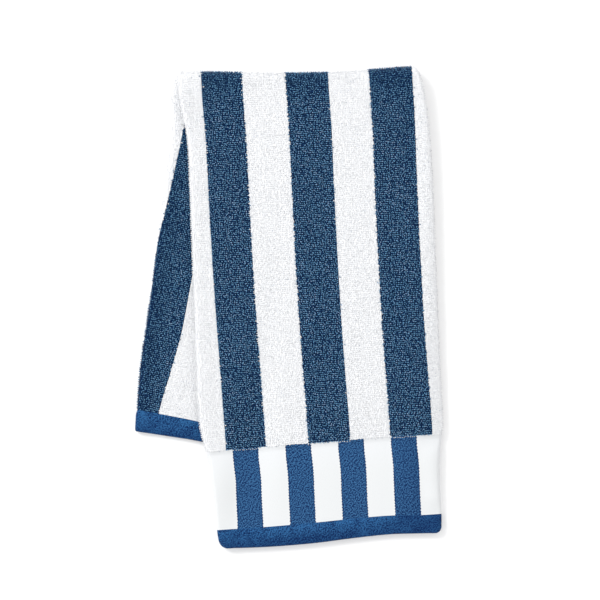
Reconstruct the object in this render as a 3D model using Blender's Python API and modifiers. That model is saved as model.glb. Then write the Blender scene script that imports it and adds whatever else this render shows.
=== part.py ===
"""Hand towel, turned in along both sides, folded once across and laid flat.

The cloth is described flat first: `across` runs from the left selvedge to the
right one, `along` runs from the plain hem to the hem below the bordered end.
Zero is on a pattern line near the top fold of the folded towel.  Both sides
turn in behind the face, and then the long packet folds over at the top, so
that the bordered end lies on top and reaches past the plain end.
"""
import math

import bmesh
import bpy
import numpy as np

MM = 0.001

# Cloth, flat
WIDTH = 405.0 * MM
LEFT_SELVEDGE = -117.7 * MM
RIGHT_SELVEDGE = LEFT_SELVEDGE + WIDTH
PLAIN_HEM_END = -329.3 * MM
PLAIN_HEM = 17.0 * MM
TERRY_END = 297.6 * MM
BORDER = 65.4 * MM
BORDER_HEM = 16.2 * MM
BORDER_END = TERRY_END + BORDER
HEM_END = BORDER_END + BORDER_HEM
STEP_RUN = 4.0 * MM

# Thickness of each kind of weave, and the air between layers
TERRY = 2.8 * MM
FLAT_WEAVE = 1.7 * MM
HEM = 2.4 * MM
AIR = 0.7 * MM

# Turned edges are rounder than the packet is thick, and the selvedges inside
# never meet
MIDDLE_GAP = 5.0 * MM
ROLL_FULLNESS = 1.35
ROLL_FADE = 15.0 * MM

# Top fold
FOLD_SLANT = math.radians(2.95)
FOLD_HEADING = math.radians(1.28)
FOLD_TO_ZERO = 11.7 * MM
FOLD_ORIGIN = (-73.1 * MM, 189.1 * MM)
FOLD_FADE = 45.0 * MM

# Back packet: its left side is turned in askew
FAN = math.radians(5.2)
FAN_START = -40.0 * MM
FAN_FULL = -100.0 * MM

# The front packet drops to the surface where nothing lies under it
DROP_START = 262.0 * MM
DROP_HOLD = 6.0 * MM
DROP_RUN = 30.0 * MM
HEM_WAVE = 1.5 * MM
HEM_WAVE_LENGTH = WIDTH / 2.0

# Where the sides turn in, how much the width draws in and how far the front
# wanders sideways, at places along the cloth, in millimetres
SIDES = np.array([
    # along,  left, right,  width, drift
    (-329.3, -45.2, 187.5, 1.000, 0.0),
    (-276.4, -42.0, 187.5, 1.000, 0.0),
    (-208.5, -34.8, 187.5, 1.000, 0.0),
    (-141.0, -28.4, 187.0, 1.000, 0.0),
    (-69.4, -21.8, 185.5, 1.000, 0.0),
    (-40.2, -19.6, 182.0, 1.002, 0.0),
    (-12.0, -19.6, 178.5, 1.004, 0.0),
    (0.0, -19.4, 181.8, 1.004, 0.0),
    (37.2, -16.0, 186.2, 1.000, 0.6),
    (74.4, -16.4, 187.4, 0.996, 0.0),
    (148.8, -18.1, 187.0, 0.991, -1.1),
    (223.2, -19.6, 187.5, 0.985, -2.9),
    (262.0, -20.7, 187.2, 0.986, -3.1),
    (280.0, -20.2, 186.8, 0.986, -3.0),
    (292.0, -18.2, 185.6, 0.986, -2.9),
    (304.0, -14.5, 182.4, 0.986, -2.9),
    (320.0, -14.0, 179.8, 0.985, -1.8),
    (341.0, -11.7, 179.5, 0.985, -2.7),
    (363.0, -9.2, 179.8, 0.985, -3.9),
    (374.0, -7.0, 179.2, 0.985, -4.4),
    (379.2, -2.0, 174.5, 0.985, -4.6),
], dtype=[("along", float), ("left", float), ("right", float),
          ("width", float), ("drift", float)])

# Roundness of the top fold at places across it, in millimetres: the radius of
# its outer layer, how far it sags, and the length of cloth it takes up
TOP_FOLD = np.array([
    # across, radius, sag, taken
    (-20.0, 7.9, 0.0, 24.9),
    (18.0, 6.6, 0.4, 23.5),
    (55.0, 5.7, 1.2, 22.5),
    (90.0, 5.3, 2.2, 22.0),
    (122.0, 5.4, 0.8, 21.5),
    (157.0, 6.5, 0.0, 21.5),
    (190.0, 7.9, 0.0, 21.5),
], dtype=[("across", float), ("radius", float), ("sag", float),
          ("taken", float)])

# Grid of the folded sheet: how many steps each stretch is cut into
TURNED_COLUMNS = 8
ROLL_COLUMNS = 6
FACE_COLUMNS = 14
BACK_ROWS = 10
ARC_ROWS = 8
FRONT_ROWS = 10
DROP_ROWS = 5
BORDER_ROWS = 7
ARC_CLOTH = 24.9 * MM
ARC_MARGIN = 8.0 * MM
SLANT_HOLD = 22.0 * MM
SLANT_RUN = 60.0 * MM


def smooth_step(value):
    """Ease from 0 to 1 while value runs from 0 to 1."""
    value = np.clip(value, 0.0, 1.0)
    return value * value * (3.0 - 2.0 * value)


def read_table(table, column, where):
    """Column of a table at where, along a smooth curve through its rows."""
    knots = table[table.dtype.names[0]] * MM
    values = table[column]
    slopes = np.gradient(values, knots)
    where = np.clip(where, knots[0], knots[-1])
    row = np.clip(np.searchsorted(knots, where) - 1, 0, len(knots) - 2)
    span = knots[row + 1] - knots[row]
    part = (where - knots[row]) / span
    rise = smooth_step(part)
    lead = part * (1.0 - part) ** 2
    trail = part * part * (1.0 - part)
    return (values[row] * (1.0 - rise) + values[row + 1] * rise
            + span * (slopes[row] * lead - slopes[row + 1] * trail))


def thickness(along):
    """Thickness of the cloth at a place along it."""
    into_hem = smooth_step((PLAIN_HEM_END + PLAIN_HEM - along) / STEP_RUN)
    into_border = smooth_step((along - TERRY_END) / STEP_RUN)
    into_end = smooth_step((along - BORDER_END) / STEP_RUN)
    return (TERRY + into_hem * (HEM - TERRY)
            + into_border * (FLAT_WEAVE - TERRY)
            + into_end * (HEM - FLAT_WEAVE))


def layer_pair(distance, apart):
    """Spacing of the two layers at a distance from the turned edge."""
    roll = ROLL_FULLNESS * apart / 2.0
    start = math.pi / 2.0 * roll
    fade = 1.0 - smooth_step((distance - start) / ROLL_FADE)
    return apart + (2.0 * roll - apart) * fade


def turn_sides(across, along):
    """Fold both sides in: place in the packet, and depth below its face."""
    left = read_table(SIDES, "left", along) * MM
    right = read_table(SIDES, "right", along) * MM
    on_left = across < (left + right) / 2.0
    crease = np.where(on_left, left, right)
    inward = np.where(on_left, 1.0, -1.0)
    apart = thickness(along) + AIR
    roll = ROLL_FULLNESS * apart / 2.0
    quarter = math.pi / 2.0 * roll

    distance = (across - crease) * inward
    run = np.abs(distance)
    angle = np.minimum(run / roll, math.pi / 2.0)
    turned = distance < 0.0
    panel = np.where(on_left, left - LEFT_SELVEDGE, RIGHT_SELVEDGE - right)
    room = (right - left - MIDDLE_GAP) / 2.0
    squeeze = np.where(turned, np.minimum(room / panel, 1.0), 1.0)
    reach = np.where(run < quarter, roll * (1.0 - np.cos(angle)),
                     roll + (run - quarter) * squeeze)
    pair = layer_pair(run, apart)
    depth = np.where(
        run < quarter,
        roll * (1.0 - np.where(turned, -1.0, 1.0) * np.sin(angle)),
        np.where(turned, pair, 0.0))

    fan = 2.0 * FAN * smooth_step((FAN_START - along) / (FAN_START - FAN_FULL))
    fan = np.where(turned & on_left, fan, 0.0)
    edge = crease + inward * (quarter - roll)
    packet_x = edge + inward * reach * np.cos(fan)
    packet_y = along - reach * np.sin(fan)
    return packet_x, packet_y, depth, pair


def to_fold_axes(packet_x, packet_y):
    """Packet place as a place along the top fold and a distance past it."""
    sine, cosine = math.sin(FOLD_SLANT), math.cos(FOLD_SLANT)
    run = packet_x * cosine + packet_y * sine
    past = packet_y * cosine - packet_x * sine + FOLD_TO_ZERO
    return run, past


def from_fold_axes(run, past):
    """Packet place of a place along the top fold and a distance past it."""
    sine, cosine = math.sin(FOLD_SLANT), math.cos(FOLD_SLANT)
    past = past - FOLD_TO_ZERO
    return run * cosine - past * sine, run * sine + past * cosine


def covered(distance):
    """One inside an edge and just past it, easing to zero farther out."""
    return 1.0 - smooth_step((distance - DROP_HOLD) / DROP_RUN)


def back_packet_top(run, inward, taken):
    """Height of the back packet, and how fully it is there, below a place."""
    packet_x, packet_y = from_fold_axes(run, -inward - taken)
    left = read_table(SIDES, "left", packet_y) * MM
    right = read_table(SIDES, "right", packet_y) * MM
    past_right = packet_x - right
    past_hem = PLAIN_HEM_END - packet_y
    outer = covered(past_right) * covered(past_hem)

    past_selvedge = right - (RIGHT_SELVEDGE - right) - packet_x
    right_panel = covered(past_selvedge) * outer

    sine, cosine = math.sin(FAN), math.cos(FAN)
    crease_top = read_table(SIDES, "left", 0.0 * run + FAN_START) * MM
    from_x = packet_x - crease_top
    from_y = packet_y - FAN_START
    reach = from_x * cosine - from_y * sine
    length = from_x * sine + from_y * cosine
    cloth_x = crease_top + length * sine - reach * cosine
    cloth_y = FAN_START + length * cosine + reach * sine
    left_panel = (covered(LEFT_SELVEDGE - cloth_x)
                  * covered(PLAIN_HEM_END - cloth_y))

    apart = TERRY + AIR
    nearest = np.minimum(np.abs(packet_x - left), np.abs(packet_x - right))
    turned = 1.0 - (1.0 - right_panel) * (1.0 - left_panel)
    here = 1.0 - (1.0 - outer) * (1.0 - left_panel)
    return TERRY * here + layer_pair(nearest, apart) * turned, here


def lay_cloth(across, along):
    """Place in the world of each place on the flat cloth's middle surface."""
    packet_x, packet_y, depth, pair = turn_sides(across, along)
    packet_x = packet_x * read_table(SIDES, "width", along)
    hem_part = smooth_step((along - BORDER_END) / BORDER_HEM)
    wave = np.sin(2.0 * math.pi * across / HEM_WAVE_LENGTH)
    packet_y = packet_y + HEM_WAVE * hem_part * wave
    run, past = to_fold_axes(packet_x, packet_y)

    radius = read_table(TOP_FOLD, "radius", run) * MM
    taken = read_table(TOP_FOLD, "taken", run) * MM
    sag = read_table(TOP_FOLD, "sag", run) * MM
    half = thickness(along) / 2.0
    turn = math.pi * np.clip(1.0 + past / taken, 0.0, 1.0)
    inward = np.where(past > 0.0, past, np.maximum(-past - taken, 0.0))
    bulge = (radius - depth) * np.sin(turn)
    down = inward - bulge + sag * (1.0 - smooth_step(inward / FOLD_FADE))

    support, here = back_packet_top(run, inward, taken)
    rest = support + AIR * here + half
    lofted = half + 2.0 * radius - pair
    loft = (lofted - rest) * (1.0 - smooth_step(past / FOLD_FADE))
    front_height = rest + loft + pair - depth
    arc_height = half + radius - (radius - depth) * np.cos(turn)
    height = np.where(past > 0.0, front_height, arc_height)

    cosine, sine = math.cos(FOLD_HEADING), math.sin(FOLD_HEADING)
    drift = read_table(SIDES, "drift", along) * MM
    world_x = FOLD_ORIGIN[0] + run * cosine + down * sine + drift
    world_y = FOLD_ORIGIN[1] + run * sine - down * cosine
    return np.stack([world_x, world_y, height], axis=-1)


def column_stops():
    """Column places as (zone, part of the zone), from left to right."""
    stops = []
    zones = ((0, TURNED_COLUMNS), (1, ROLL_COLUMNS), (2, FACE_COLUMNS),
             (3, ROLL_COLUMNS), (4, TURNED_COLUMNS))
    for zone, count in zones:
        stops += [zone + step / count for step in range(count)]
    return np.array(stops + [5.0])


def row_stops():
    """Row places along the cloth at the zero line, plain hem first."""
    plain_terry = PLAIN_HEM_END + PLAIN_HEM
    arc_end = -FOLD_TO_ZERO
    arc_start = arc_end - ARC_CLOTH
    stretches = (
        (PLAIN_HEM_END, plain_terry - STEP_RUN, 2),
        (plain_terry, arc_start - ARC_MARGIN, BACK_ROWS),
        (arc_start, arc_end, ARC_ROWS),
        (arc_end + ARC_MARGIN, DROP_START, FRONT_ROWS),
        (DROP_START, TERRY_END, DROP_ROWS),
        (TERRY_END + STEP_RUN, BORDER_END, BORDER_ROWS),
        (BORDER_END + STEP_RUN, HEM_END, 2),
    )
    rows = [np.linspace(start, end, count + 1) for start, end, count in stretches]
    return np.unique(np.concatenate(rows))


def sheet_grid():
    """Flat-cloth places of every grid point, following folds and creases."""
    stops, rows = column_stops(), row_stops()
    left = read_table(SIDES, "left", rows) * MM
    right = read_table(SIDES, "right", rows) * MM
    roll_run = math.pi / 2.0 * ROLL_FULLNESS * (TERRY + AIR) / 2.0
    level = np.zeros_like(rows)
    knots = np.stack([LEFT_SELVEDGE + level, left - roll_run, left + roll_run,
                      right - roll_run, right + roll_run, RIGHT_SELVEDGE + level],
                     axis=1)
    zones = np.arange(knots.shape[1])
    across = np.array([np.interp(stops, zones, line) for line in knots])

    # Rows near the top fold lie along it, also where the sides are turned in
    left, right = left[:, None], right[:, None]
    folded = np.where(across < left, 2.0 * left - across, across)
    folded = np.where(across > right, 2.0 * right - across, folded)
    from_fold = np.abs(rows + FOLD_TO_ZERO + ARC_CLOTH / 2.0)
    slant = 1.0 - smooth_step((from_fold - SLANT_HOLD) / SLANT_RUN)
    along = rows[:, None] + slant[:, None] * folded * math.tan(FOLD_SLANT)
    return across, along


def cloth_material():
    """Cotton in navy and white, as one plain mean colour."""
    material = bpy.data.materials.new("navy_and_white_terry")
    material.use_nodes = True
    shader = material.node_tree.nodes["Principled BSDF"]
    shader.inputs["Base Color"].default_value = (0.16, 0.24, 0.36, 1.0)
    shader.inputs["Roughness"].default_value = 0.95
    shader.inputs["Metallic"].default_value = 0.0
    return material


def make_towel(collection):
    """The whole towel: one folded sheet with its thickness."""
    across, along = sheet_grid()
    places = lay_cloth(across, along)
    rows, columns = across.shape
    cloth = bmesh.new()
    bmesh.ops.create_grid(cloth, x_segments=columns - 1, y_segments=rows - 1,
                          size=0.5)
    weave = cloth.verts.layers.deform.verify()
    for point in cloth.verts:
        column = round((point.co.x + 0.5) * (columns - 1))
        row = round((point.co.y + 0.5) * (rows - 1))
        point.co = places[row, column]
        point[weave][0] = float(thickness(along[row, column]) / TERRY)
    mesh = bpy.data.meshes.new("towel")
    cloth.to_mesh(mesh)
    cloth.free()

    towel = bpy.data.objects.new("towel", mesh)
    collection.objects.link(towel)
    towel.vertex_groups.new(name="thickness")
    towel.data.materials.append(cloth_material())
    thicken = towel.modifiers.new("thickness", "SOLIDIFY")
    thicken.thickness = TERRY
    thicken.offset = 0.0
    thicken.vertex_group = "thickness"
    towel.data.shade_smooth()
    return towel


def main():
    """Clear the scene and lay the towel in its own collection."""
    for thing in list(bpy.data.objects):
        bpy.data.objects.remove(thing, do_unlink=True)
    collection = bpy.data.collections.new("hand_towel")
    bpy.context.scene.collection.children.link(collection)
    make_towel(collection)


main()
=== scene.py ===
import math

import bmesh
import bpy
import numpy as np
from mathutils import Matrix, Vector


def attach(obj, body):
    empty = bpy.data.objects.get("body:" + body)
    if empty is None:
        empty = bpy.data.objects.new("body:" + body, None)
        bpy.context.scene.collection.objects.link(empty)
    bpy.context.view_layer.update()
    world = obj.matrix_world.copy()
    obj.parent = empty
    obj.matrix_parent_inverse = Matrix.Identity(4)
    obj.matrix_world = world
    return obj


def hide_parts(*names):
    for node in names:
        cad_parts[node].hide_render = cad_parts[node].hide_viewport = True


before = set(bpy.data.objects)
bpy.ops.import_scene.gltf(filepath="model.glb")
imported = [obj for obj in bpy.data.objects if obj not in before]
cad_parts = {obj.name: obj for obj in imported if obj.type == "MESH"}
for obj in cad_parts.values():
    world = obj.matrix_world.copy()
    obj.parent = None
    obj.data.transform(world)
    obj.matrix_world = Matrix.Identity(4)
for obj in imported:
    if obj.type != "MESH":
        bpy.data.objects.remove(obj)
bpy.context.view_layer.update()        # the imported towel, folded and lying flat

mm = 0.001
dice = np.random.default_rng(28)

# The cloth lying flat: across runs from selvedge to selvedge, along runs from the
# plain hem to the hem below the border, and zero is on the line between two stripes
cloth = {
    "width": 405.0 * mm,
    "leftSelvedge": -117.7 * mm,
    "rightSelvedge": 287.3 * mm,
    "plainEnd": -329.3 * mm,
    "plainHem": -312.3 * mm,      # where the hem stops and the pile starts
    "pileEnd": 297.6 * mm,        # where the pile stops and the flat border starts
    "borderEnd": 363.0 * mm,
    "hemEnd": 379.2 * mm,
    "stepRun": 4.0 * mm,
    "pileThick": 2.8 * mm,
    "flatThick": 1.7 * mm,
    "hemThick": 2.4 * mm,
    "air": 0.7 * mm,
}

# How it is folded: sides in, then over at the top
fold = {
    "middleGap": 0.5 * mm,
    "rollFullness": 1.35,
    "borderFullness": 1.05,       # the flat border springs up more along its right crease
    "rollFade": 15.0 * mm,
    "slant": math.radians(2.95),
    "heading": math.radians(1.28),
    "toZero": 11.7 * mm,
    "origin": (-73.1 * mm, 189.1 * mm),
    "fade": 45.0 * mm,
    "fan": math.radians(5.2),     # the lower packet's left side is turned in askew
    "fanStart": -40.0 * mm,
    "fanFull": -100.0 * mm,
    "dropStart": 262.0 * mm,      # past here the upper packet comes down to the table
    "dropHold": 6.0 * mm,
    "dropRun": 30.0 * mm,
    "endDropRun": 80.0 * mm,      # it bridges from the lower packet's end, being stiff
    "hemLift": 2.0 * mm,          # and its hem stays a little off the table
    "cornerLeft": 7.8 * mm,       # the corners of the front hem are worn round
    "cornerRight": 5.8 * mm,
    "cornerFade": 16.0 * mm,
    "endStart": -300.0 * mm,      # the plain hem slips on and turns a little less
    "endSlip": 2.1 * mm,
    "endFanLoss": 0.33,
    "swellFade": 14.0 * mm,
    "arcCloth": 24.9 * mm,
    "arcMargin": 8.0 * mm,
    "slantHold": 22.0 * mm,
    "slantRun": 60.0 * mm,
    "swayRun": 21.8 * mm,         # the rows' sway changes over this length, near the border
}

# Where the sides turn in, how far the width draws in, and the sideways wander, in mm
sides = np.array([
    # along,  left, right,  width, drift
    (-329.3, -48.7, 187.5, 1.000, 2.7),
    (-312.3, -46.4, 187.5, 1.000, 0.9),
    (-276.4, -39.0, 187.5, 1.000, -4.8),
    (-242.9, -34.8, 187.5, 1.000, -5.1),
    (-208.5, -33.0, 187.5, 1.000, -3.1),
    (-173.5, -30.9, 187.3, 1.000, -1.9),
    (-141.0, -27.4, 187.0, 1.000, -2.2),
    (-104.1, -24.4, 186.4, 1.000, -1.0),
    (-69.4, -21.8, 185.5, 1.000, 0.0),
    (-40.2, -19.6, 182.0, 1.002, 0.0),
    (-12.0, -19.6, 179.9, 1.004, 0.0),
    (0.0, -19.4, 183.3, 1.004, -0.3),
    (37.2, -15.9, 187.4, 1.000, -0.1),
    (74.4, -16.15, 189.1, 0.996, -0.85),
    (148.8, -17.65, 188.95, 0.991, -2.15),
    (223.2, -20.55, 187.75, 0.985, -2.25),
    (262.0, -21.65, 186.45, 0.986, -2.15),
    (280.0, -21.1, 186.1, 0.986, -2.1),
    (292.0, -18.95, 185.35, 0.986, -2.15),
    (304.0, -14.7, 182.8, 0.986, -2.7),
    (320.0, -14.4, 180.1, 0.985, -2.1),
    (341.0, -12.6, 179.55, 0.985, -2.75),
    (363.0, -11.8, 179.6, 0.985, -3.3),
    (371.0, -10.7, 179.4, 0.985, -3.7),
    (379.2, -9.8, 179.2, 0.985, -4.0),
], dtype=[("along", float), ("left", float), ("right", float),
          ("width", float), ("drift", float)])

# How far the turned left side swells out behind the top fold, in mm
leftSwell = np.array([
    # along, out
    (-104.1, 0.0),
    (-80.0, 0.2),
    (-69.4, 1.1),
    (-62.0, 3.0),
    (-50.0, 4.5),
    (-42.0, 3.8),
    (-36.0, 2.2),
    (-30.0, 0.9),
    (-12.0, 0.8),
    (10.0, 0.0),
], dtype=[("along", float), ("out", float)])

# How far the first and last rows sway forward, in mm, at places across the folded towel
sway = np.array([
    # across, top, pile, border, hem
    (-5.0, 0.2, 0.0, 1.2, 0.8),
    (15.0, -1.2, 0.0, 1.7, 1.8),
    (35.0, -1.7, -0.25, 1.6, 2.3),
    (56.0, -0.9, -0.6, 1.3, 2.3),
    (76.0, -1.1, -0.5, 0.9, 1.8),
    (97.0, -1.4, -0.5, 0.2, 0.6),
    (117.0, -0.9, -1.1, -0.3, -0.3),
    (137.0, 0.6, -1.1, -0.3, -0.7),
    (157.0, 0.2, -0.75, 1.0, 0.2),
    (180.0, -0.9, 0.1, 1.5, 1.3),
], dtype=[("across", float), ("top", float), ("pile", float), ("border", float), ("hem", float)])

# How round the top fold is at places along it, in mm
topFold = np.array([
    # across, radius, sag, taken
    (-20.0, 7.9, 0.0, 24.9),
    (18.0, 6.6, 0.4, 23.5),
    (55.0, 5.7, 0.8, 22.5),
    (90.0, 5.3, 1.2, 22.0),
    (122.0, 5.4, 0.8, 21.5),
    (157.0, 6.5, 0.0, 21.5),
    (190.0, 7.9, 0.0, 21.5),
], dtype=[("across", float), ("radius", float), ("sag", float), ("taken", float)])


def smoothStep(value):
    value = np.clip(value, 0.0, 1.0)
    return value * value * (3.0 - 2.0 * value)


def readTable(table, column, where):
    # a smooth curve through the rows of a table
    knots = table[table.dtype.names[0]] * mm
    values = table[column]
    slopes = np.gradient(values, knots)
    where = np.clip(where, knots[0], knots[-1])
    row = np.clip(np.searchsorted(knots, where) - 1, 0, len(knots) - 2)
    span = knots[row + 1] - knots[row]
    part = (where - knots[row]) / span
    rise = smoothStep(part)
    lead = part * (1.0 - part) ** 2
    trail = part * part * (1.0 - part)
    return (values[row] * (1.0 - rise) + values[row + 1] * rise
            + span * (slopes[row] * lead - slopes[row + 1] * trail))


def byWeave(along, pile, border, hem):
    # one value for each kind of weave, eased over the steps between them
    intoPlain = smoothStep((cloth["plainHem"] - along) / cloth["stepRun"])
    intoBorder = smoothStep((along - cloth["pileEnd"]) / cloth["stepRun"])
    intoEnd = smoothStep((along - cloth["borderEnd"]) / cloth["stepRun"])
    return (pile + intoPlain * (hem - pile) + intoBorder * (border - pile)
            + intoEnd * (hem - border))


def thickness(along):
    return byWeave(along, cloth["pileThick"], cloth["flatThick"], cloth["hemThick"])


def layerPair(distance, apart, fullness=fold["rollFullness"]):
    # two layers lie farther apart beside their turned edge
    roll = fullness * apart / 2.0
    fade = 1.0 - smoothStep((distance - math.pi / 2.0 * roll) / fold["rollFade"])
    return apart + (2.0 * roll - apart) * fade


def inBorder(along):
    ends = cloth["hemEnd"] - cloth["borderEnd"]
    return (smoothStep((along - cloth["pileEnd"]) / ends)
            * smoothStep((cloth["borderEnd"] - along) / ends))


def cornerPull(along, onLeft):
    # how far a round corner draws the turned edge in
    radius = np.where(onLeft, fold["cornerLeft"], fold["cornerRight"])
    part = np.clip(1.0 - (cloth["hemEnd"] - along) / radius, 0.0, 0.995)
    return radius * (1.0 - np.sqrt(1.0 - part * part))


def turnSides(across, along):
    left = readTable(sides, "left", along) * mm
    right = readTable(sides, "right", along) * mm
    onLeft = across < (left + right) / 2.0
    inward = np.where(onLeft, 1.0, -1.0)
    apart = thickness(along) + cloth["air"]
    fuller = fold["borderFullness"] * inBorder(along) * np.where(onLeft, 0.0, 1.0)
    fullness = fold["rollFullness"] + fuller
    roll = fullness * apart / 2.0
    quarter = math.pi / 2.0 * roll
    right = right + (math.pi / 2.0 - 1.0) * fuller * apart / 2.0    # the outline stays
    crease = np.where(onLeft, left, right)

    distance = (across - crease) * inward
    run = np.abs(distance)
    angle = np.minimum(run / roll, math.pi / 2.0)
    turned = distance < 0.0
    panel = np.where(onLeft, left - cloth["leftSelvedge"], cloth["rightSelvedge"] - right)
    room = (right - left - fold["middleGap"]) / 2.0
    squeeze = np.where(turned, np.minimum(room / panel, 1.0), 1.0)
    reach = np.where(run < quarter, roll * (1.0 - np.cos(angle)),
                     roll + (run - quarter) * squeeze)
    swell = np.where(onLeft, readTable(leftSwell, "out", along) * mm, 0.0)
    swell = swell * (1.0 - smoothStep(reach / fold["swellFade"]))
    reach = reach + cornerPull(along, onLeft) * (1.0 - smoothStep(reach / fold["cornerFade"]))
    reach = reach - swell
    pair = layerPair(run, apart, fullness)
    depth = np.where(run < quarter,
                     roll * (1.0 - np.where(turned, -1.0, 1.0) * np.sin(angle)),
                     np.where(turned, pair, 0.0))

    fanned = smoothStep((fold["fanStart"] - along) / (fold["fanStart"] - fold["fanFull"]))
    ended = smoothStep((fold["endStart"] - along) / (fold["endStart"] - cloth["plainEnd"]))
    fan = 2.0 * fold["fan"] * fanned * (1.0 - fold["endFanLoss"] * ended)
    fan = np.where(turned & onLeft, fan, 0.0)
    edge = crease + inward * (quarter - roll)
    slipped = along - fold["endSlip"] * ended
    return edge + inward * reach * np.cos(fan), slipped - reach * np.sin(fan), depth, pair


def swayForward(packetX, along):
    topSway = readTable(sway, "top", packetX) * mm
    pileSway = readTable(sway, "pile", packetX) * mm
    borderSway = readTable(sway, "border", packetX) * mm
    hemSway = readTable(sway, "hem", packetX) * mm
    run = fold["swayRun"]
    intoPile = smoothStep((along - cloth["pileEnd"] + 2.0 * run) / (2.0 * run))
    intoBorder = smoothStep((along - cloth["pileEnd"]) / run)
    intoHem = smoothStep((along - cloth["borderEnd"]) / (cloth["hemEnd"] - cloth["borderEnd"]))
    atTop = smoothStep(1.0 + along / fold["toZero"]) * (1.0 - smoothStep(along / (1.6 * run)))
    return (topSway * atTop + pileSway * intoPile + (borderSway - pileSway) * intoBorder
            + (hemSway - borderSway) * intoHem)


def covered(distance, run=fold["dropRun"]):
    return 1.0 - smoothStep((distance - fold["dropHold"]) / run)


def lowerPacketTop(run, inward, taken):
    # how high the lower packet stands under a place, and how fully it is there
    sine, cosine = math.sin(fold["slant"]), math.cos(fold["slant"])
    past = -inward - taken - fold["toZero"]
    packetX, packetY = run * cosine - past * sine, run * sine + past * cosine
    left = readTable(sides, "left", packetY) * mm
    right = readTable(sides, "right", packetY) * mm
    outer = covered(packetX - right) * covered(cloth["plainEnd"] - packetY, fold["endDropRun"])
    selvedge = right - (cloth["rightSelvedge"] - right)
    rightPanel = covered(selvedge - packetX) * outer

    sine, cosine = math.sin(fold["fan"]), math.cos(fold["fan"])
    hinge = readTable(sides, "left", 0.0 * run + fold["fanStart"]) * mm
    fromX, fromY = packetX - hinge, packetY - fold["fanStart"]
    reach = fromX * cosine - fromY * sine
    length = fromX * sine + fromY * cosine
    clothX = hinge + length * sine - reach * cosine
    clothY = fold["fanStart"] + length * cosine + reach * sine
    leftPanel = (covered(cloth["leftSelvedge"] - clothX)
                 * covered(cloth["plainEnd"] - clothY, fold["endDropRun"]))

    apart = cloth["pileThick"] + cloth["air"]
    nearest = np.minimum(np.abs(packetX - left), np.abs(packetX - right))
    turned = 1.0 - (1.0 - rightPanel) * (1.0 - leftPanel)
    here = 1.0 - (1.0 - outer) * (1.0 - leftPanel)
    return cloth["pileThick"] * here + layerPair(nearest, apart) * turned, here


def layCloth(across, along):
    # from a place on the flat cloth to its place on the table, at mid thickness
    packetX, packetY, depth, pair = turnSides(across, along)
    packetY = packetY + swayForward(packetX, along)
    packetX = packetX * readTable(sides, "width", along)
    sine, cosine = math.sin(fold["slant"]), math.cos(fold["slant"])
    run = packetX * cosine + packetY * sine
    past = packetY * cosine - packetX * sine + fold["toZero"]

    radius = readTable(topFold, "radius", run) * mm
    taken = readTable(topFold, "taken", run) * mm
    sag = readTable(topFold, "sag", run) * mm
    half = thickness(along) / 2.0
    turn = math.pi * np.clip(1.0 + past / taken, 0.0, 1.0)
    inward = np.where(past > 0.0, past, np.maximum(-past - taken, 0.0))
    bulge = (radius - depth) * np.sin(turn)
    down = inward - bulge + sag * (1.0 - smoothStep(inward / fold["fade"]))

    support, here = lowerPacketTop(run, inward, taken)
    rest = support + cloth["air"] * here + half
    lofted = half + 2.0 * radius - pair
    loft = (lofted - rest) * (1.0 - smoothStep(past / fold["fade"]))
    lift = fold["hemLift"] * smoothStep((along - cloth["pileEnd"])
                                        / (cloth["hemEnd"] - cloth["pileEnd"]))
    height = np.where(past > 0.0, rest + loft + lift + pair - depth,
                      half + radius - (radius - depth) * np.cos(turn))

    cosine, sine = math.cos(fold["heading"]), math.sin(fold["heading"])
    drift = readTable(sides, "drift", along) * mm
    x = fold["origin"][0] + run * cosine + down * sine + drift
    y = fold["origin"][1] + run * sine - down * cosine
    return np.stack([x, y, height], axis=-1)


def unit(vectors):
    return vectors / np.maximum(np.linalg.norm(vectors, axis=-1, keepdims=True), 1e-12)


def clothFrames(across, along):
    # middle of the cloth, the two directions of its threads, and the way its right side faces
    reach = 0.3 * mm
    weft = unit(layCloth(across + reach, along) - layCloth(across - reach, along))
    warp = unit(layCloth(across, along + reach) - layCloth(across, along - reach))
    return layCloth(across, along), weft, warp, unit(np.cross(warp, weft))


# The stripes run along the cloth, broad ones in the pile and narrow ones in the border
stripes = {
    # lines between broad stripes, in mm across the cloth
    "broadLines": [-136.3, -101.0, -65.7, -32.0, 0.0, 34.0, 70.0, 105.7, 139.6, 175.5,
                   210.6, 245.7, 280.8, 315.9],
    "zeroLine": 4,                # which of them is at zero
    "narrowFirst": -16.8 * mm,
    "narrowWidth": 22.4 * mm,
    "borderPart": 21.8 * mm,      # a third of the border's length
}


def broadCount(across):
    # broad stripes counted from zero, whole on the lines between them
    lines = np.array(stripes["broadLines"]) * mm
    return np.interp(across, lines, np.arange(len(lines)) - stripes["zeroLine"])


def narrowCount(across):
    return (across - stripes["narrowFirst"]) / stripes["narrowWidth"]


def borderCount(along):
    return (along - cloth["pileEnd"]) / stripes["borderPart"]


def isNavy(across):
    return np.floor(broadCount(across)) % 2 == 0


def borderIsNavy(across):
    return np.floor(narrowCount(across)) % 2 == 1


# Small helpers for the materials' nodes
def shade(red, green, blue):
    # a colour as it is picked on screen, 0 to 255, as Blender's linear colour
    picked = np.array([red, green, blue]) / 255.0
    linear = np.where(picked < 0.04045, picked / 12.92, ((picked + 0.055) / 1.055) ** 2.4)
    return (*[float(part) for part in linear], 1.0)


matte = {
    "specular": 0.06,
    "sheenRoughness": 0.5,
}


def newMaterial(name, roughness, sheen):
    material = bpy.data.materials.new(name)
    material.use_nodes = True
    shader = material.node_tree.nodes["Principled BSDF"]
    shader.inputs["Roughness"].default_value = roughness
    shader.inputs["Specular IOR Level"].default_value = matte["specular"]
    shader.inputs["Sheen Weight"].default_value = sheen
    shader.inputs["Sheen Roughness"].default_value = matte["sheenRoughness"]
    return material, material.node_tree, shader


def put(tree, socket, value):
    if isinstance(value, bpy.types.NodeSocket):
        tree.links.new(value, socket)
    else:
        socket.default_value = value


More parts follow.
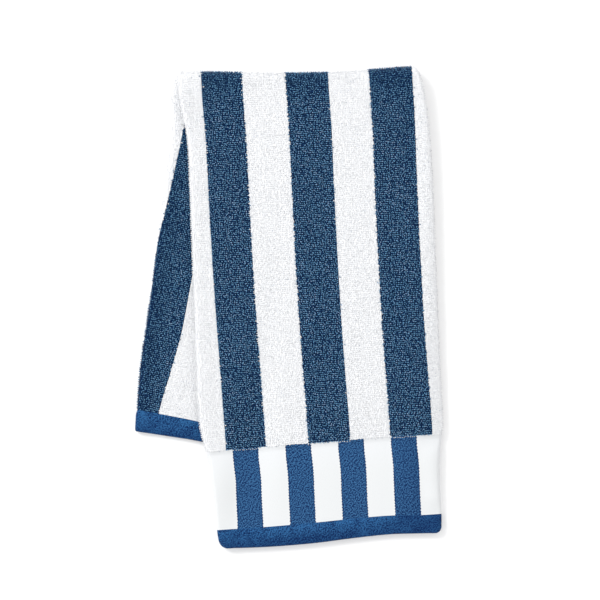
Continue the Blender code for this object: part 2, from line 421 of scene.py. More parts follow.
def maths(tree, operation, first, second=0.0, third=0.0):
    node = tree.nodes.new("ShaderNodeMath")
    node.operation = operation
    for socket, value in zip(node.inputs, (first, second, third)):
        put(tree, socket, value)
    return node.outputs[0]


def plus(tree, first, second):
    return maths(tree, "ADD", first, second)


def minus(tree, first, second):
    return maths(tree, "SUBTRACT", first, second)


def times(tree, first, second):
    return maths(tree, "MULTIPLY", first, second)


def flip(tree, share):
    return minus(tree, 1.0, share)


def mix(tree, share, first, second):
    node = tree.nodes.new("ShaderNodeMix")
    node.data_type = "RGBA"
    put(tree, node.inputs["Factor"], share)
    put(tree, node.inputs[6], first)
    put(tree, node.inputs[7], second)
    return node.outputs[2]


def noise(tree, place, scale, detail=2.0):
    node = tree.nodes.new("ShaderNodeTexNoise")
    put(tree, node.inputs["Vector"], place)
    node.inputs["Scale"].default_value = scale
    node.inputs["Detail"].default_value = detail
    return node.outputs["Fac"]


def ramp(tree, value, low, high):
    # 0 below low and 1 above high
    node = tree.nodes.new("ShaderNodeMapRange")
    node.interpolation_type = "SMOOTHSTEP"
    put(tree, node.inputs["Value"], value)
    node.inputs["From Min"].default_value = low
    node.inputs["From Max"].default_value = high
    return node.outputs["Result"]


def bump(tree, shader, height, distance, strength=1.0):
    node = tree.nodes.new("ShaderNodeBump")
    node.inputs["Distance"].default_value = distance
    node.inputs["Strength"].default_value = strength
    tree.links.new(height, node.inputs["Height"])
    tree.links.new(node.outputs["Normal"], shader.inputs["Normal"])


def stored(tree, name, output="Vector"):
    node = tree.nodes.new("ShaderNodeAttribute")
    node.attribute_name = name
    return node.outputs[output]


def split(tree, vector):
    node = tree.nodes.new("ShaderNodeSeparateXYZ")
    tree.links.new(vector, node.inputs[0])
    return node.outputs[0], node.outputs[1], node.outputs[2]


colours = {
    "navyBright": shade(141, 171, 203),
    "navyPile": shade(96, 144, 180),
    "navyPileDeep": shade(8, 43, 84),
    "navyGround": shade(0, 26, 56),
    "navyFlat": shade(58, 104, 149),
    "navyFlatDeep": shade(6, 32, 76),
    "navyHem": shade(47, 98, 148),
    "navyHemDeep": shade(4, 26, 70),
    "whiteBright": shade(249, 249, 249),
    "whitePile": shade(240, 240, 241),
    # painted shade: the white yarn's colour at the loop roots, also its dimmest tone
    "whiteRootShade": shade(222, 224, 227),
    "whiteGround": shade(236, 237, 239),
    "whiteFlat": shade(219, 221, 222),
    # painted light: a lighter white for the border rows that slope away from the light
    "whitePaintedLitBesidePile": shade(220, 222, 224),
    "fleck": shade(186, 192, 203),
    "greyDash": shade(190, 196, 206),
}


def evenStripes(tree, count):
    # 1 in stripes with an even number
    return flip(tree, maths(tree, "PINGPONG", maths(tree, "FLOOR", count), 1.0))


# In these weaves a range on the flat cloth is in mm, and a scale is in marks to the mm
pileWeave = {
    "roughness": 0.95,
    "sheen": 0.15,
    "tuftScale": 0.55,
    "tuftRange": (0.35, 0.75),
    "fleckScale": 0.8,            # stray dark flecks in the white, which come in patches
    "fleckRange": (0.70, 0.76),
    "patchScale": 0.045,
    "patchRange": (0.46, 0.58),
    "bumpHeight": 0.8 * mm,
}


def pileGroundMaterial(name, reverse):
    # the woven base between the loops; the back of the cloth has the colours exchanged
    material, tree, shader = newMaterial(name, pileWeave["roughness"], pileWeave["sheen"])
    place = stored(tree, "flatPlace")
    navy = evenStripes(tree, split(tree, stored(tree, "stripeCount"))[0])
    if reverse:
        navy = flip(tree, navy)
    tufts = noise(tree, place, pileWeave["tuftScale"])
    patches = noise(tree, place, pileWeave["patchScale"], 1.0)
    patches = ramp(tree, patches, *pileWeave["patchRange"])
    flecks = noise(tree, place, pileWeave["fleckScale"], 0.0)
    flecks = times(tree, ramp(tree, flecks, *pileWeave["fleckRange"]), patches)
    white = mix(tree, flecks, colours["whiteGround"], colours["fleck"])
    dark = mix(tree, ramp(tree, tufts, *pileWeave["tuftRange"]), colours["navyGround"],
               colours["navyPileDeep"])
    put(tree, shader.inputs["Base Color"], mix(tree, navy, white, dark))
    bump(tree, shader, tufts, pileWeave["bumpHeight"])
    return material


slantedRib = {
    "across": 0.75,               # how fast it runs each way
    "along": 0.65,
    "pitch": 2.2,
    "swing": 34.0,
    "swingScale": 0.05,
    "height": 0.035,
    "grainScale": 1.05,
}


def ribHeight(tree, place):
    # a fine rib that swings from one slant to the other, broken up by the yarn's grain
    across, along = split(tree, place)[:2]
    slanting = plus(tree, times(tree, across, slantedRib["across"]),
                    times(tree, along, slantedRib["along"]))
    swing = times(tree, noise(tree, place, slantedRib["swingScale"], 0.0), slantedRib["swing"])
    turns = plus(tree, times(tree, slanting, 2.0 * math.pi / slantedRib["pitch"]), swing)
    rib = times(tree, maths(tree, "SINE", turns), slantedRib["height"])
    return plus(tree, rib, noise(tree, place, slantedRib["grainScale"], 1.0))


borderWeave = {
    "roughness": 0.9,
    "sheen": 0.05,
    "navyReach": 0.488,           # from the middle of a stripe, in stripes
    "ragged": 0.035,
    "raggedScale": 0.45,
    "edgeSteps": 9.0,             # the small even steps of a woven edge, in a border part
    "edgeStep": 0.010,
    "threadRange": (0.41, 0.60),
    "rimRange": (0.41, 0.48),
    "rimDepth": 0.5,
    # painted shade: navy deepened toward the right edge, which lies away from the light
    "shadeRightRange": (130.0, 180.0),
    "shadeRightDepth": 0.3,
    "paintedLightRows": (0.2, 1.3),     # painted light: the border parts from the pile over which its white is painted lighter
    "bumpHeight": 0.3 * mm,
    "bumpStrength": 0.6,
}


def borderMaterial(name, reverse):
    # two cloths woven as one, changing places at every stripe, with a fine slanting rib
    material, tree, shader = newMaterial(name, borderWeave["roughness"], borderWeave["sheen"])
    place = stored(tree, "flatPlace")
    narrow, part = split(tree, stored(tree, "stripeCount"))[1:]

    # navy stripes are a little narrower, with uneven woven edges
    fromMiddle = maths(tree, "ABSOLUTE", minus(tree, maths(tree, "FRACT", narrow), 0.5))
    ragged = minus(tree, noise(tree, place, borderWeave["raggedScale"], 1.0), 0.5)
    turns = times(tree, part, 2.0 * math.pi * borderWeave["edgeSteps"])
    ragged = plus(tree, times(tree, ragged, borderWeave["ragged"]),
                  times(tree, maths(tree, "SINE", turns), borderWeave["edgeStep"]))
    room = minus(tree, borderWeave["navyReach"], fromMiddle)
    inside = maths(tree, "GREATER_THAN", room, ragged)
    navy = times(tree, flip(tree, evenStripes(tree, narrow)), inside)
    if reverse:
        navy = flip(tree, navy)

    # navy is deeper at a stripe's rims, and painted shade deepens it toward the cloth's right
    # edge
    threads = ribHeight(tree, place)
    blue = mix(tree, ramp(tree, threads, *borderWeave["threadRange"]),
               colours["navyFlatDeep"], colours["navyFlat"])
    rim = times(tree, ramp(tree, fromMiddle, *borderWeave["rimRange"]), borderWeave["rimDepth"])
    paintedShadeRight = ramp(tree, split(tree, place)[0], *borderWeave["shadeRightRange"])
    deeper = maths(tree, "MAXIMUM", rim, times(tree, paintedShadeRight, borderWeave["shadeRightDepth"]))
    blue = mix(tree, deeper, blue, colours["navyFlatDeep"])

    # it slopes from the light where it leaves the pile, and its white is painted lighter there to
    # offset that shade: painted light
    white = mix(tree, ramp(tree, part, *borderWeave["paintedLightRows"]),
                colours["whitePaintedLitBesidePile"], colours["whiteFlat"])
    put(tree, shader.inputs["Base Color"], mix(tree, navy, white, blue))
    bump(tree, shader, threads, borderWeave["bumpHeight"], borderWeave["bumpStrength"])
    return material


hemWeave = {
    "roughness": 0.9,
    "sheen": 0.05,
    "patchScale": 0.10,
    "patchShare": 0.4,
    "fineScale": 0.75,
    "fineShare": 0.6,
    "threadRange": (0.78, 1.22),
    # the rim is partly the denser weave at the turned edge and partly painted shade
    "rimRange": (0.0, 13.0),
    "rimDepth": 0.45,
    # painted shade: navy deepened toward the right end, which lies away from the light
    "shadeRightRange": (100.0, 176.0),
    "shadeRightDepth": 0.48,
    "bumpHeight": 0.3 * mm,
    "bumpStrength": 0.6,
}


def hemMaterial(name):
    # turned over twice, finer than the pile
    material, tree, shader = newMaterial(name, hemWeave["roughness"], hemWeave["sheen"])
    place = stored(tree, "flatPlace")
    across, along = split(tree, place)[:2]
    patchy = times(tree, noise(tree, place, hemWeave["patchScale"]), hemWeave["patchShare"])
    fine = times(tree, noise(tree, place, hemWeave["fineScale"], 1.0), hemWeave["fineShare"])
    threads = plus(tree, plus(tree, ribHeight(tree, place), patchy), fine)
    blue = mix(tree, ramp(tree, threads, *hemWeave["threadRange"]),
               colours["navyHemDeep"], colours["navyHem"])

    # deeper toward the edge it is turned over at, partly a denser weave at the fold and partly
    # painted shade where that edge rounds down, and painted shade deepens it toward its right end
    middle = (cloth["hemEnd"] + cloth["plainEnd"]) / 2.0 / mm
    half = (cloth["hemEnd"] - cloth["plainEnd"]) / 2.0 / mm
    fromEdge = minus(tree, half, maths(tree, "ABSOLUTE", minus(tree, along, middle)))
    rim = times(tree, flip(tree, ramp(tree, fromEdge, *hemWeave["rimRange"])),
                hemWeave["rimDepth"])
    paintedShadeRight = times(tree, ramp(tree, across, *hemWeave["shadeRightRange"]), hemWeave["shadeRightDepth"])
    deeper = maths(tree, "MAXIMUM", rim, paintedShadeRight)
    put(tree, shader.inputs["Base Color"], mix(tree, deeper, blue, colours["navyHemDeep"]))
    bump(tree, shader, threads, hemWeave["bumpHeight"], hemWeave["bumpStrength"])
    return material


loopYarn = {
    "roughness": 0.85,
    "navySheen": 0.04,
    "whiteSheen": 0.1,
    "deepToMiddle": (0.0, 0.5),   # over these parts of a loop's own tone
    "middleToBright": (0.5, 1.0),
    "rootShadeToCrown": (0.0, 0.9),    # painted shade at the root gives way to the crown over this part of its height
}


def loopMaterial(name, deep, middle, bright, sheen):
    # cotton yarn: painted shade darkens it down in the pile, and above that each loop has a tone
    # of its own
    material, tree, shader = newMaterial(name, loopYarn["roughness"], sheen)
    tone = stored(tree, "loopTone", "Fac")
    crown = mix(tree, ramp(tree, tone, *loopYarn["deepToMiddle"]), deep, middle)
    crown = mix(tree, ramp(tree, tone, *loopYarn["middleToBright"]), crown, bright)
    # painted shade: each loop's root takes the deep colour, for the dark down between the loops
    rise = ramp(tree, stored(tree, "loopRise", "Fac"), *loopYarn["rootShadeToCrown"])
    put(tree, shader.inputs["Base Color"], mix(tree, rise, deep, crown))
    return material


# The ground cloth under the loops, with its flat border and hems
ground = {
    "pileBase": 0.35 * mm,        # right side of the base above mid thickness
    "edgeRound": 2.6 * mm,        # hems are rounded over this length
    "edgeDrop": 1.05 * mm,
    "stripePuff": 0.35 * mm,      # narrow stripes stand up between their joins
    "puffMiddle": 0.75,
    "offTable": 0.02 * mm,        # nothing of it lies lower
    "materialsASide": 3,
    "mapMargin": 0.01,
    "columns": (14, 10, 76, 10, 14),
    "rowStep": {"hem": 1.6 * mm, "pile": 4.4 * mm, "arc": 1.2 * mm, "drop": 2.4 * mm,
                "border": 1.35 * mm, "corner": 0.7 * mm},
}


def stretchRows(start, end, step):
    count = max(2, round((end - start) / step))
    return np.linspace(start, end, count + 1)


def groundPlaces():
    step = ground["rowStep"]
    arcEnd = -fold["toZero"]
    arcStart = arcEnd - fold["arcCloth"]
    margin, run, edge = fold["arcMargin"], cloth["stepRun"], ground["edgeRound"]
    cornerStart = cloth["hemEnd"] - fold["cornerLeft"]
    rows = np.unique(np.round(np.concatenate([
        stretchRows(cloth["plainEnd"], cloth["plainEnd"] + edge, edge / 4.0),
        stretchRows(cloth["plainEnd"] + edge, cloth["plainHem"], step["hem"]),
        stretchRows(cloth["plainHem"], arcStart - margin, step["pile"]),
        stretchRows(arcStart - margin, arcEnd + margin, step["arc"]),
        stretchRows(arcEnd + margin, fold["dropStart"], step["pile"]),
        stretchRows(fold["dropStart"], cloth["pileEnd"], step["drop"]),
        stretchRows(cloth["pileEnd"], cloth["pileEnd"] + run, run / 4.0),
        stretchRows(cloth["pileEnd"] + run, cloth["borderEnd"], step["border"]),
        stretchRows(cloth["borderEnd"], cornerStart, step["hem"]),
        stretchRows(cornerStart, cloth["hemEnd"] - edge, step["corner"]),
        stretchRows(cloth["hemEnd"] - edge, cloth["hemEnd"], edge / 4.0),
    ]), 7))
    left = readTable(sides, "left", rows) * mm
    right = readTable(sides, "right", rows) * mm
    quarter = math.pi / 2.0 * fold["rollFullness"] * (cloth["pileThick"] + cloth["air"]) / 2.0
    knots = np.stack([0.0 * rows + cloth["leftSelvedge"],
                      left - quarter, left + quarter, right - quarter, right + quarter,
                      0.0 * rows + cloth["rightSelvedge"]], axis=1)
    stops = np.concatenate([zone + np.arange(count) / count
                            for zone, count in enumerate(ground["columns"])] + [[5.0]])
    across = np.array([np.interp(stops, np.arange(6), line) for line in knots])

    # rows near the top fold lie along it
    left, right = left[:, None], right[:, None]
    folded = np.where(across < left, 2.0 * left - across, across)
    folded = np.where(across > right, 2.0 * right - across, folded)
    fromFold = np.abs(rows + fold["toZero"] + fold["arcCloth"] / 2.0)
    slant = 1.0 - smoothStep((fromFold - fold["slantHold"]) / fold["slantRun"])
    return across, rows[:, None] + slant[:, None] * folded * math.tan(fold["slant"])


def sideHeights(across, along):
    # how far the right side and the wrong side of the ground lie from mid thickness
    right = byWeave(along, ground["pileBase"], cloth["flatThick"] / 2.0, cloth["hemThick"] / 2.0)
    wrong = thickness(along) / 2.0
    puffed = smoothStep((along - cloth["pileEnd"]) / cloth["stepRun"])
    puffed = puffed * smoothStep((cloth["borderEnd"] - along) / cloth["stepRun"])
    dome = np.abs(np.sin(math.pi * narrowCount(across))) ** 0.5
    right = right + ground["stripePuff"] * (dome - ground["puffMiddle"]) * puffed
    fromEnd = np.minimum(along - cloth["plainEnd"], cloth["hemEnd"] - along)
    rounding = 1.0 - np.clip(fromEnd / ground["edgeRound"], 0.0, 1.0)
    drop = ground["edgeDrop"] * (1.0 - np.sqrt(1.0 - rounding ** 2))
    return right - drop, wrong - drop


def storePlaces(mesh, across, along):
    # the flat cloth's places and counts, for the materials to read
    flat = np.stack([across / mm, along / mm, 0.0 * across], axis=1)
    count = np.stack([broadCount(across), narrowCount(across), borderCount(along)], axis=1)
    for name, values in (("flatPlace", flat), ("stripeCount", count)):
        layer = mesh.attributes.new(name, "FLOAT_VECTOR", "POINT")
        layer.data.foreach_set("vector", values.astype(np.float32).ravel())


def linkPiece(name, mesh):
    piece = bpy.data.objects.new(name, mesh)
    bpy.context.scene.collection.objects.link(piece)
    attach(piece, "root")
    return piece


def makeGround():
    across, along = groundPlaces()
    middle, _, _, normal = clothFrames(across, along)
    rightHeight, wrongHeight = sideHeights(across, along)
    places = middle + normal * rightHeight[..., None]
    places[..., 2] = np.maximum(places[..., 2], ground["offTable"])
    rows, columns = across.shape

    build = bmesh.new()
    bmesh.ops.create_grid(build, x_segments=columns - 1, y_segments=rows - 1, size=0.5)
    weights = build.verts.layers.deform.verify()
    build.verts.ensure_lookup_table()
    full = float((rightHeight + wrongHeight).max())
    order = []
    for point in build.verts:
        column = round((point.co.x + 0.5) * (columns - 1))
        row = round((point.co.y + 0.5) * (rows - 1))
        order.append((row, column))
        point.co = places[row, column]
        point[weights][0] = float((rightHeight + wrongHeight)[row, column]) / full
    rowOf, columnOf = np.array(order).T
    flatAcross, flatAlong = across[rowOf, columnOf], along[rowOf, columnOf]
    for face in build.faces:
        face.smooth = True
        middleRow = sum(rowOf[corner.index] for corner in face.verts) / 4.0
        place = along[int(middleRow), columns // 2]
        isHem = place < cloth["plainHem"] - 1e-6 or place >= cloth["borderEnd"] - 1e-6
        face.material_index = 2 if isHem else int(place >= cloth["pileEnd"] - 1e-6)
    bmesh.ops.reverse_faces(build, faces=build.faces)     # the right side faces out
    mesh = bpy.data.meshes.new("towelCloth")
    build.to_mesh(mesh)
    build.free()
    storePlaces(mesh, flatAcross, flatAlong)

    # a map of the whole cloth, right side in one half and wrong side in the other
    atCorner = np.empty(len(mesh.loops), dtype=np.int32)
    mesh.loops.foreach_get("vertex_index", atCorner)
    margin, length = ground["mapMargin"], cloth["hemEnd"] - cloth["plainEnd"]
    u = (flatAcross - cloth["leftSelvedge"]) / cloth["width"] * (0.5 - 2.0 * margin) + margin
    v = (flatAlong - cloth["plainEnd"]) / length * (1.0 - 2.0 * margin) + margin
    corners = np.stack([u, v], axis=1)[atCorner].astype(np.float32)
    mesh.uv_layers.new(name="OFBake").data.foreach_set("uv", corners.ravel())

    for material in (pileGroundMaterial("pileGround", False), borderMaterial("flatBorder", False),
                     hemMaterial("hem"), pileGroundMaterial("pileBack", True),
                     borderMaterial("borderBack", True), hemMaterial("hemBack")):
        mesh.materials.append(material)
    towel = linkPiece("towelCloth", mesh)
    towel.vertex_groups.new(name="thickness")
    thicken = towel.modifiers.new("thickness", "SOLIDIFY")
    thicken.thickness = full
    thicken.offset = -1.0
    thicken.vertex_group = "thickness"
    thicken.material_offset = ground["materialsASide"]
    thicken.material_offset_rim = ground["materialsASide"]
    return settle(towel)


def settle(towel):
    # keep the thickened cloth as a plain mesh, its wrong side moved to the map's other half
    depsgraph = bpy.context.evaluated_depsgraph_get()
    mesh = bpy.data.meshes.new_from_object(towel.evaluated_get(depsgraph))
    towel.modifiers.clear()
    towel.data = mesh
    mesh.name = "towelCloth"
    slots = np.empty(len(mesh.polygons), dtype=np.int32)
    sizes = np.empty(len(mesh.polygons), dtype=np.int32)
    mesh.polygons.foreach_get("material_index", slots)
    mesh.polygons.foreach_get("loop_total", sizes)
    uv = np.empty(2 * len(mesh.loops), dtype=np.float32)
    layer = mesh.uv_layers["OFBake"].data
    layer.foreach_get("uv", uv)
    uv = uv.reshape(-1, 2)
    uv[:, 0] += 0.5 * np.repeat(slots >= ground["materialsASide"], sizes)
    layer.foreach_set("uv", uv.ravel())
    return towel


# Terry loops: real arches of yarn, one for every tuft
pile = {
    "rowSpacing": 1.67 * mm,
    "tuftSpacing": 1.45 * mm,     # within a row
    "backSpacing": 2.3 * mm,
    "jitter": (0.3 * mm, 0.16 * mm),
    "strayColour": 0.42 * mm,     # how far the edge of a stripe wanders
    "rise": 0.98 * mm,
    "riseSpread": 0.13 * mm,
    "halfSpan": 0.38 * mm,
    "yarn": 0.75 * mm,
    "twist": 0.22 * mm,
    "lean": 0.22 * mm,
    "lay": 0.14 * mm,             # the pile lies a little toward the border
    "turn": 1.0,                  # the loops twist this far from the warp, and their spread
    "turnSpread": 0.6,
    "foldShade": 0.44,              # painted shade: how much deeper the navy loops are painted on the top fold and beside the creases
    "foldShadeRun": 24.0 * mm,
    "foot": 0.22 * mm,
    "ridge": 0.42,                # how high the yarn's back stands, in its widths
    "spanRange": (0.8, 1.15),
    "yarnRange": (0.85, 1.1),
    "foldOverlap": 4.5 * mm,      # loops go this far round the turned sides
    "hiddenMargin": 9.0 * mm,
    "pastFold": 30.0 * mm,
    "underRun": 42.0 * mm,        # the underside has loops this far from the border
    "upperEnd": 130.0 * mm,
    "backEnd": 12.0 * mm,
    "sideEnd": -30.0 * mm,
    "edgeSamples": 60,            # on the front packet's left edge
    "cellMargin": 0.15,           # each loop has a little cell of its own in the map
}

joinDashes = {
    "from": -24.0 * mm,
    "to": 192.0 * mm,
    "spacing": 1.72 * mm,
    "past": 0.7 * mm,
    "rise": 0.3,
    "lift": 0.1 * mm,
    "thin": 0.72,
    "greyShare": 0.3,
}

# The arch of one loop: reach along it, rise, sideways twist, and which way is out
loopArch = np.array([
    (-0.50, 0.00, -1.0, -0.95, -0.30),
    (-1.00, 0.55, -0.6, -0.85, 0.50),
    (0.00, 1.00, 0.0, 0.00, 1.00),
    (1.00, 0.55, 0.6, 0.85, 0.50),
    (0.50, 0.00, 1.0, 0.95, -0.30),
], dtype=[("reach", float), ("rise", float), ("twist", float),
          ("outReach", float), ("outRise", float)])


def pileLattice(acrossStart, acrossEnd, alongStart, alongEnd, tuftSpacing, rowSpacing):
    rows = np.arange(alongStart + rowSpacing / 2.0, alongEnd, rowSpacing)
    columns = np.arange(acrossStart + tuftSpacing / 2.0, acrossEnd, tuftSpacing)
    across, along = np.meshgrid(columns, rows)
    return across.ravel(), along.ravel()


def pilePlaces():
    # every tuft that can be seen: upper packet and top fold, then what shows of the lower one
    wide = pile["foldOverlap"]
    arcMiddle = -fold["toZero"] - fold["arcCloth"] / 2.0
    across, along = pileLattice(cloth["leftSelvedge"], cloth["rightSelvedge"],
                                arcMiddle - pile["pastFold"], cloth["pileEnd"],
                                pile["tuftSpacing"], pile["rowSpacing"])
    folded = along - across * math.tan(fold["slant"])
    left = readTable(sides, "left", along) * mm
    right = readTable(sides, "right", along) * mm
    onFace = (across > left - wide) & (across < right + wide) & (folded > arcMiddle)
    underside = (along > cloth["pileEnd"] - pile["underRun"]) & ~onFace
    front = onFace | underside

    backAcross, backAlong = pileLattice(cloth["leftSelvedge"], cloth["rightSelvedge"],
                                        cloth["plainHem"], pile["backEnd"],
                                        pile["backSpacing"], pile["backSpacing"])
    backFolded = backAlong - backAcross * math.tan(fold["slant"])
    backLeft = readTable(sides, "left", backAlong) * mm
    backRight = readTable(sides, "right", backAlong) * mm
    back = (backAcross > backLeft) & (backAcross < backRight + wide) & (backFolded <= arcMiddle)

    stripAcross, stripAlong = pileLattice(cloth["leftSelvedge"], 0.0,
                                          cloth["plainHem"], pile["sideEnd"],
                                          pile["tuftSpacing"], pile["rowSpacing"])
    stripFolded = stripAlong - stripAcross * math.tan(fold["slant"])
    stripLeft = readTable(sides, "left", stripAlong) * mm
    place = layCloth(stripAcross, stripAlong)
    edgeAlong = np.linspace(0.0, cloth["pileEnd"], pile["edgeSamples"])
    edge = layCloth(readTable(sides, "left", edgeAlong) * mm, edgeAlong)
    edgeX = np.interp(-place[:, 1], -edge[:, 1], edge[:, 0])
    strip = ((stripAcross <= stripLeft) & (stripFolded <= arcMiddle)
             & (place[:, 0] < edgeX + pile["hiddenMargin"]))
    upper = front & (along < pile["upperEnd"])
    lower = front & ~upper
    return {"upper": (across[upper], along[upper]), "lower": (across[lower], along[lower]),
            "side": (stripAcross[strip], stripAlong[strip]),
            "under": (backAcross[back], backAlong[back])}


def makeLoops(name, across, along, material, rise=1.0, lift=0.0, thin=1.0, turn=pile["turn"],
              foldShade=0.0):
    count = len(across)
    across = across + dice.normal(0.0, pile["jitter"][0], count)
    along = along + dice.normal(0.0, pile["jitter"][1], count)
    middle, weft, warp, normal = clothFrames(across, along)
    heading = dice.normal(turn, pile["turnSpread"] * thin ** 3, count)[:, None]
    alongLoop = warp * np.cos(heading) + weft * np.sin(heading)
    acrossLoop = np.cross(normal, alongLoop)
    tall = (pile["rise"] + dice.normal(0.0, pile["riseSpread"], count)) * rise
    lean = (weft * dice.normal(0.0, pile["lean"], count)[:, None]
            + warp * (pile["lay"] + dice.normal(0.0, pile["lean"], count))[:, None])
    span = pile["halfSpan"] * dice.uniform(*pile["spanRange"], count) * thin
    yarn = pile["yarn"] * dice.uniform(*pile["yarnRange"], count) * thin
    twist = pile["twist"] * dice.choice([-1.0, 1.0], count)

    def perRing(vectors, amounts):   # one vector for each loop times one amount for each ring
        return vectors[:, None, :] * amounts[:, :, None]

    reach = span[:, None] * loopArch["reach"][None, :]
    height = tall[:, None] * loopArch["rise"][None, :]
    sideways = twist[:, None] * loopArch["twist"][None, :]
    foot = middle + normal * (pile["foot"] + lift)
    rings = (foot[:, None, :] + perRing(alongLoop, reach) + perRing(normal, height)
             + perRing(acrossLoop, sideways)
             + perRing(lean, loopArch["rise"][None, :] * np.ones((count, 1))))
    out = (perRing(alongLoop, loopArch["outReach"][None, :] * np.ones((count, 1)))
           + perRing(normal, loopArch["outRise"][None, :] * np.ones((count, 1))))
    side = acrossLoop[:, None, :] * (yarn / 2.0)[:, None, None]
    ridge = unit(out) * (yarn * pile["ridge"])[:, None, None]
    points = np.stack([rings - side, rings + ridge, rings + side], axis=2)

    ringCount = len(loopArch)
    first = np.arange(count)[:, None, None] * ringCount * 3
    ring = np.arange(ringCount - 1)[None, :, None] * 3
    strip = np.arange(2)[None, None, :]
    corner = first + ring + strip
    faces = np.stack([corner, corner + 3, corner + 4, corner + 1], axis=-1).reshape(-1, 4)
    points = points.reshape(-1, 3)
    points[:, 2] = np.maximum(points[:, 2], 0.0)     # nothing sinks into the table

    mesh = bpy.data.meshes.new(name)
    mesh.from_pydata(points.tolist(), [], faces.tolist())
    mesh.polygons.foreach_set("use_smooth", [True] * len(faces))
    perLoop = ringCount * 3
    storeLoopFacts(mesh, across, along, perLoop, foldShade)
    mesh.materials.append(material)
    mapLoops(mesh, count, perLoop)
    return linkPiece(name, mesh)


def foldShadeShare(across, along):
    # 1 on the top fold and beside the creases, where the navy loops are painted in shade
    left = readTable(sides, "left", along) * mm
    right = readTable(sides, "right", along) * mm
    fromCrease = np.where(across < left, left - across, np.abs(across - right))
    folded = along - across * math.tan(fold["slant"]) + fold["toZero"] + fold["arcCloth"] / 2.0
    fromFold = np.abs(folded) - fold["arcCloth"] / 2.0
    nearest = np.minimum(fromCrease, np.maximum(fromFold, 0.0))
    return 1.0 - smoothStep(nearest / pile["foldShadeRun"])


def storeLoopFacts(mesh, across, along, perLoop, foldShade):
    count = len(across)
    # painted shade: loops near the top fold and the creases take a deeper tone
    tone = dice.triangular(0.0, 0.5, 1.0, count) * (1.0 - foldShade * foldShadeShare(across, along))
    tone = np.repeat(tone, perLoop)
    rise = np.tile(np.repeat(loopArch["rise"], 3), count)
    for name, values in (("loopTone", tone), ("loopRise", rise)):
        layer = mesh.attributes.new(name, "FLOAT", "POINT")
        layer.data.foreach_set("value", values.astype(np.float32))
    flat = np.repeat(np.stack([across / mm, along / mm, 0.0 * across], axis=1), perLoop, axis=0)
    layer = mesh.attributes.new("flatPlace", "FLOAT_VECTOR", "POINT")
    layer.data.foreach_set("vector", flat.astype(np.float32).ravel())


def mapLoops(mesh, count, perLoop):
    cells = math.ceil(math.sqrt(count))
    ring, side = np.divmod(np.arange(perLoop), 3)
    margin = pile["cellMargin"]
    inside = 1.0 - 2.0 * margin
    u = (np.arange(count) % cells)[:, None] + margin + inside * ring[None, :] / ring.max()
    v = (np.arange(count) // cells)[:, None] + margin + inside * side[None, :] / side.max()
    uv = np.stack([u.ravel(), v.ravel()], axis=1) / cells
    atCorner = np.empty(len(mesh.loops), dtype=np.int32)
    mesh.loops.foreach_get("vertex_index", atCorner)
    corners = uv[atCorner].astype(np.float32)
    mesh.uv_layers.new(name="OFBake").data.foreach_set("uv", corners.ravel())


def makeJoinDashes(greyYarn, whiteYarn):
    # where pile and border have one colour, a thin broken row comes up between them
    line = cloth["pileEnd"]
    across = np.arange(joinDashes["from"], joinDashes["to"], joinDashes["spacing"])
    along = np.full(len(across), line + joinDashes["past"])
    pileNavy, borderNavy = isNavy(across), borderIsNavy(across)
    grey = dice.uniform(0.0, 1.0, len(across)) < joinDashes["greyShare"]
    onNavy = pileNavy & borderNavy
    onWhite = ~pileNavy & ~borderNavy & grey
    shape = joinDashes["rise"], joinDashes["lift"], joinDashes["thin"], math.pi / 2.0
    return [makeLoops("joinDashesWhite", across[onNavy], along[onNavy], whiteYarn, *shape),
            makeLoops("joinDashesGrey", across[onWhite], along[onWhite], greyYarn, *shape)]


def makePile():
    navyYarn = loopMaterial("navyYarn", colours["navyPileDeep"], colours["navyPile"],
                            colours["navyBright"], loopYarn["navySheen"])
    whiteYarn = loopMaterial("whiteYarn", colours["whiteRootShade"], colours["whitePile"],
                             colours["whiteBright"], loopYarn["whiteSheen"])
    greyYarn = loopMaterial("greyYarn", colours["greyDash"], colours["fleck"],
                            colours["whiteRootShade"], loopYarn["whiteSheen"])
    pieces = []
    for part, (across, along) in pilePlaces().items():
        navy = isNavy(across + dice.normal(0.0, pile["strayColour"], len(across)))
        pieces.append(makeLoops(f"{part}NavyLoops", across[navy], along[navy], navyYarn,
                                foldShade=pile["foldShade"]))
        pieces.append(makeLoops(f"{part}WhiteLoops", across[~navy], along[~navy], whiteYarn))
    pieces += makeJoinDashes(greyYarn, whiteYarn)
    for piece in pieces:
        print(piece.name, "triangles", 2 * len(piece.data.polygons))
    return pieces


# Floor, lights and camera
studio = {
    "frameWidth": 501.0 * mm,     # what the picture takes in at the towel's top
    "middle": (8.7 * mm, 5.8 * mm),
    "cameraHeight": 3.0,
    "towelTop": 12.0 * mm,
    "keyPower": 65.0,
    "keySize": 1.44,
    "keyPlace": (-1.92, 1.6, 2.35),
    "skyStrength": 0.97,
    "skyLean": 0.04,              # how much brighter the sky is toward the key
    "skyToward": (-0.8, 0.6, 0.0),
    "floorRoughness": 0.9,
    "floorShade": 0.76,
    "floorGlow": 0.24,            # the table is lit a little from below
    "floorSize": 30.0,
    "floorDrop": 0.05 * mm,
    "sensor": 36.0,               # in mm, as Blender counts a lens
    "farthest": 100.0,
}


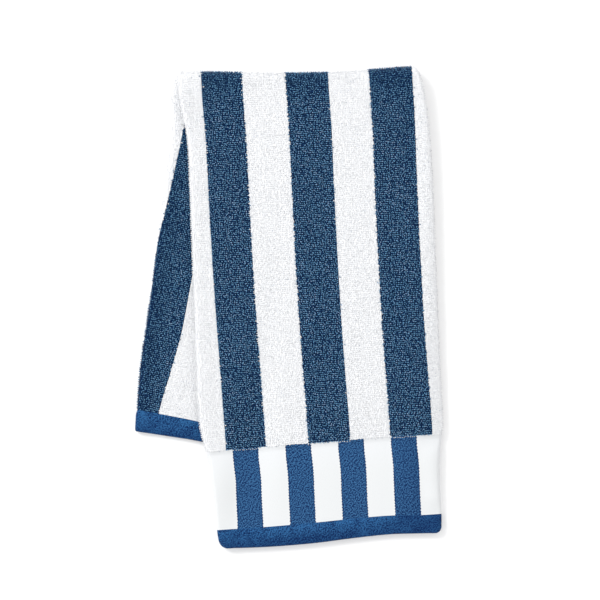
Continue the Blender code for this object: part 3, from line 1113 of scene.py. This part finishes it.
def makeFloor():
    bpy.ops.mesh.primitive_plane_add(size=studio["floorSize"],
                                     location=(0.0, 0.0, -studio["floorDrop"]))
    floor = bpy.context.object
    floor.name = "floor"
    material, _, shader = newMaterial("paperWhite", studio["floorRoughness"], 0.0)
    shader.inputs["Base Color"].default_value = (*[studio["floorShade"]] * 3, 1.0)
    shader.inputs["Emission Color"].default_value = (1.0, 1.0, 1.0, 1.0)
    shader.inputs["Emission Strength"].default_value = studio["floorGlow"]
    floor.data.materials.append(material)


def addLight(name, place, size, power):
    lamp = bpy.data.lights.new(name, "AREA")
    lamp.shape = "DISK"
    lamp.size = size
    lamp.energy = power
    light = bpy.data.objects.new(name, lamp)
    light.location = place
    light.rotation_mode = "QUATERNION"
    light.rotation_quaternion = (-Vector(place)).to_track_quat("-Z", "Y")
    light.visible_camera = False
    bpy.context.scene.collection.objects.link(light)


def makeSky():
    # a white softbox all round, brighter toward the key
    world = bpy.data.worlds.new("softbox")
    world.use_nodes = True
    tree = world.node_tree
    background = tree.nodes["Background"]
    background.inputs["Color"].default_value = (1.0, 1.0, 1.0, 1.0)
    toward = tree.nodes.new("ShaderNodeVectorMath")
    toward.operation = "DOT_PRODUCT"
    put(tree, toward.inputs[0], tree.nodes.new("ShaderNodeTexCoord").outputs["Generated"])
    toward.inputs[1].default_value = studio["skyToward"]
    lean = studio["skyStrength"] * studio["skyLean"]
    put(tree, background.inputs["Strength"],
        maths(tree, "MULTIPLY_ADD", toward.outputs["Value"], lean, studio["skyStrength"]))
    bpy.context.scene.world = world


def makeStudio():
    makeFloor()
    addLight("key", studio["keyPlace"], studio["keySize"], studio["keyPower"])
    makeSky()
    bpy.context.scene.view_settings.view_transform = "Standard"
    bpy.context.scene.view_settings.look = "None"

    lens = bpy.data.cameras.new("overhead")
    lens.sensor_width = studio["sensor"]
    distance = studio["cameraHeight"] - studio["towelTop"]
    lens.lens = lens.sensor_width * distance / studio["frameWidth"]
    lens.clip_end = studio["farthest"]
    camera = bpy.data.objects.new("overhead", lens)
    camera.location = (*studio["middle"], studio["cameraHeight"])
    bpy.context.scene.collection.objects.link(camera)
    bpy.context.scene.camera = camera
    print("studio ready")


towelCloth = makeGround()
print(towelCloth.name, "faces", len(towelCloth.data.polygons))
loops = makePile()
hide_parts("towel")
makeStudio()
